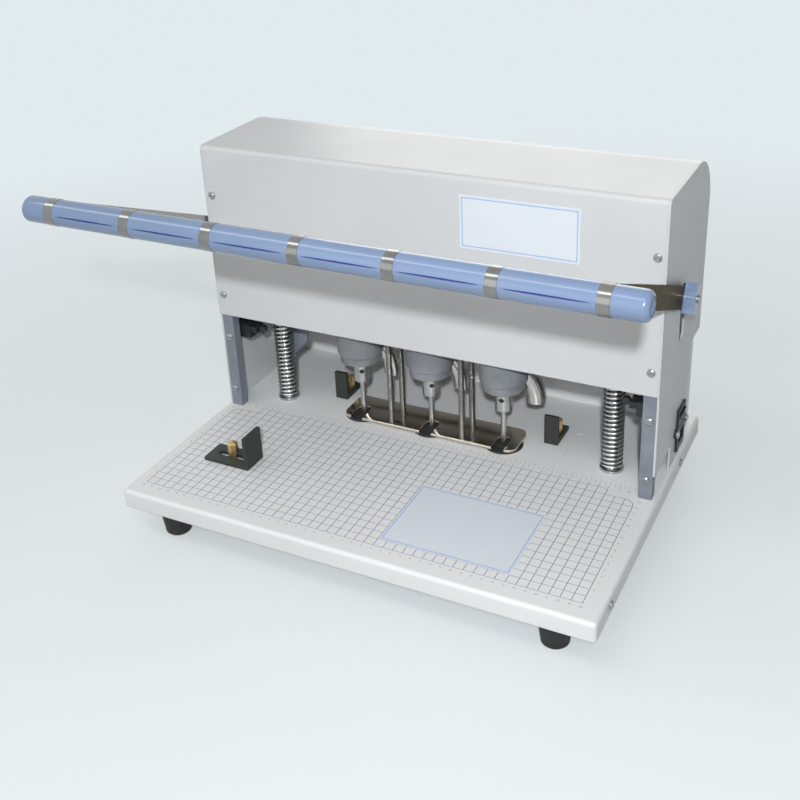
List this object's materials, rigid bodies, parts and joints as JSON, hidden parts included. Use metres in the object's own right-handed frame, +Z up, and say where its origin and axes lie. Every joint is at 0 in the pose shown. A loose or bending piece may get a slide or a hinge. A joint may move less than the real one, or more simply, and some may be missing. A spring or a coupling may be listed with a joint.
{
  "type": "electric hole punch",
  "caption": "Bench paper drill with a pull-down lever bar: hollow drills on a sprung carriage under a hood bore archive holes in a paper stack on a ruled table with paper stops.",
  "frame": {"origin": "middle of the part's box on the surface that the feet stand on", "axes": "+X to the right along the lever bar, +Y to the back, +Z up"},
  "size_m": [0.5648, 0.3908, 0.3676],
  "materials": {
    "white_enamel": "smooth stoved enamel",
    "grey_paint": "satin blue-grey paint",
    "bare_steel": "machined, oiled",
    "chrome": "polished",
    "spring_steel": "bright drawn wire",
    "zinc_screws": "zinc plated",
    "satin_steel": "satin",
    "blue_plastic": "glossy moulded",
    "black_plastic": "fine moulded grain",
    "black_rubber": "matt",
    "black_enamel": "satin",
    "brass": "turned and knurled",
    "white_film": "printed film, blank"
  },
  "bodies": {
    "base": {"base_tray": "white_enamel", "steel_bed": "bare_steel", "bottom_plate": "white_enamel", "rubber_feet": "black_rubber", "tray_screws": "zinc_screws", "drill_pads": "black_rubber", "side_plate_left": "white_enamel", "side_plate_right": "white_enamel", "hood": "white_enamel", "hood_screws": "zinc_screws", "blank_plate": "white_film", "rear_cabinet": "white_enamel", "front_posts": "grey_paint", "post_screws": "zinc_screws", "guide_columns": "chrome", "spring_seats": "bare_steel", "top_beam": "grey_paint", "return_spring_left": "spring_steel", "return_spring_right": "spring_steel", "axle_bearings": "grey_paint", "power_inlet": "black_plastic", "inlet_pins": "brass", "inlet_screws": "zinc_screws", "limit_switches": "black_plastic"},
    "carriage": {"carriage_beam": "grey_paint", "hanging_bracket": "grey_paint", "guide_bushes": "brass", "racks": "bare_steel", "motors": "grey_paint", "gear_heads": "grey_paint", "chip_tubes": "chrome"},
    "press": {"press_plate": "chrome", "press_rods": "chrome"},
    "lever": {"lever_arm_left": "satin_steel", "lever_arm_right": "satin_steel", "bar_core": "bare_steel", "grip_sleeves": "blue_plastic", "grip_bands": "satin_steel", "bar_caps": "blue_plastic", "lever_hubs": "blue_plastic", "hub_screws": "zinc_screws", "lever_axles": "chrome", "toothed_sectors": "bare_steel"},
    "rocker": {"rocker_switch": "black_plastic"},
    "limit_left": {"limit_lever_left": "black_plastic"},
    "limit_right": {"limit_lever_right": "black_plastic"},
    "side_guide": {"side_stop": "black_enamel"},
    "rear_guide_left": {"rear_stop_left": "black_enamel"},
    "rear_guide_right": {"rear_stop_right": "black_enamel"},
    "side_thumb": {"thumb_screw_side": "brass"},
    "rear_thumb_left": {"thumb_screw_left": "brass"},
    "rear_thumb_right": {"thumb_screw_right": "brass"},
    "spindle_left": {"chuck_left": "satin_steel", "bit_left": "satin_steel"},
    "spindle_middle": {"chuck_middle": "satin_steel", "bit_middle": "satin_steel"},
    "spindle_right": {"chuck_right": "satin_steel", "bit_right": "satin_steel"}
  },
  "joints": [
    {"name": "lever_swing", "type": "hinge", "parent": "base", "child": "lever", "pos_m": [0, 0.0769, 0.245], "axis": [-1, 0, 0], "range_deg": [0, 60]},
    {"name": "carriage_slide", "type": "slide", "parent": "base", "child": "carriage", "axis": [0, 0, 1], "range_m": [0, 0.042], "deforming": ["return_spring_left", "return_spring_right"]},
    {"name": "press_slide", "type": "slide", "parent": "carriage", "child": "press", "axis": [0, 0, 1], "range_m": [0, 0.034]},
    {"name": "spindle_turn_left", "type": "hinge", "parent": "carriage", "child": "spindle_left", "pos_m": [-0.092, 0.0614, 0.113], "axis": [0, 0, 1], "continuous": true},
    {"name": "spindle_turn_middle", "type": "hinge", "parent": "carriage", "child": "spindle_middle", "pos_m": [-0.009, 0.0614, 0.113], "axis": [0, 0, 1], "continuous": true},
    {"name": "spindle_turn_right", "type": "hinge", "parent": "carriage", "child": "spindle_right", "pos_m": [0.074, 0.0614, 0.113], "axis": [0, 0, 1], "continuous": true},
    {"name": "rocker_tip", "type": "hinge", "parent": "base", "child": "rocker", "pos_m": [0.243, 0.1134, 0.09775], "axis": [0, -1, 0], "range_deg": [0, 16]},
    {"name": "limit_press_left", "type": "hinge", "parent": "base", "child": "limit_left", "pos_m": [-0.214, 0.0464, 0.143], "axis": [0, 1, 0], "range_deg": [0, 12], "stiffness_Nm_per_rad": 0.02, "springref_deg": -17.19},
    {"name": "limit_press_right", "type": "hinge", "parent": "base", "child": "limit_right", "pos_m": [0.214, 0.0464, 0.143], "axis": [0, -1, 0], "range_deg": [0, 12], "stiffness_Nm_per_rad": 0.02, "springref_deg": -17.19},
    {"name": "side_stop_slide", "type": "slide", "parent": "base", "child": "side_guide", "axis": [1, 0, 0], "range_m": [-0.01, 0.01]},
    {"name": "rear_stop_slide_left", "type": "slide", "parent": "base", "child": "rear_guide_left", "axis": [0, 1, 0], "range_m": [-0.004, 0.008]},
    {"name": "rear_stop_slide_right", "type": "slide", "parent": "base", "child": "rear_guide_right", "axis": [0, 1, 0], "range_m": [-0.004, 0.008]},
    {"name": "side_thumb_turn", "type": "hinge", "parent": "base", "child": "side_thumb", "pos_m": [-0.174, -0.0746, 0.053], "axis": [0, 0, 1], "range_deg": [0, 180]},
    {"name": "rear_thumb_turn_left", "type": "hinge", "parent": "base", "child": "rear_thumb_left", "pos_m": [-0.1305, 0.0989, 0.053], "axis": [0, 0, 1], "range_deg": [0, 180]},
    {"name": "rear_thumb_turn_right", "type": "hinge", "parent": "base", "child": "rear_thumb_right", "pos_m": [0.1195, 0.0989, 0.053], "axis": [0, 0, 1], "range_deg": [0, 180]}
  ],
  "couplings": [
    {"joint": "carriage_slide", "follows": "lever_swing", "m_per_rad": 0.04}
  ]
}
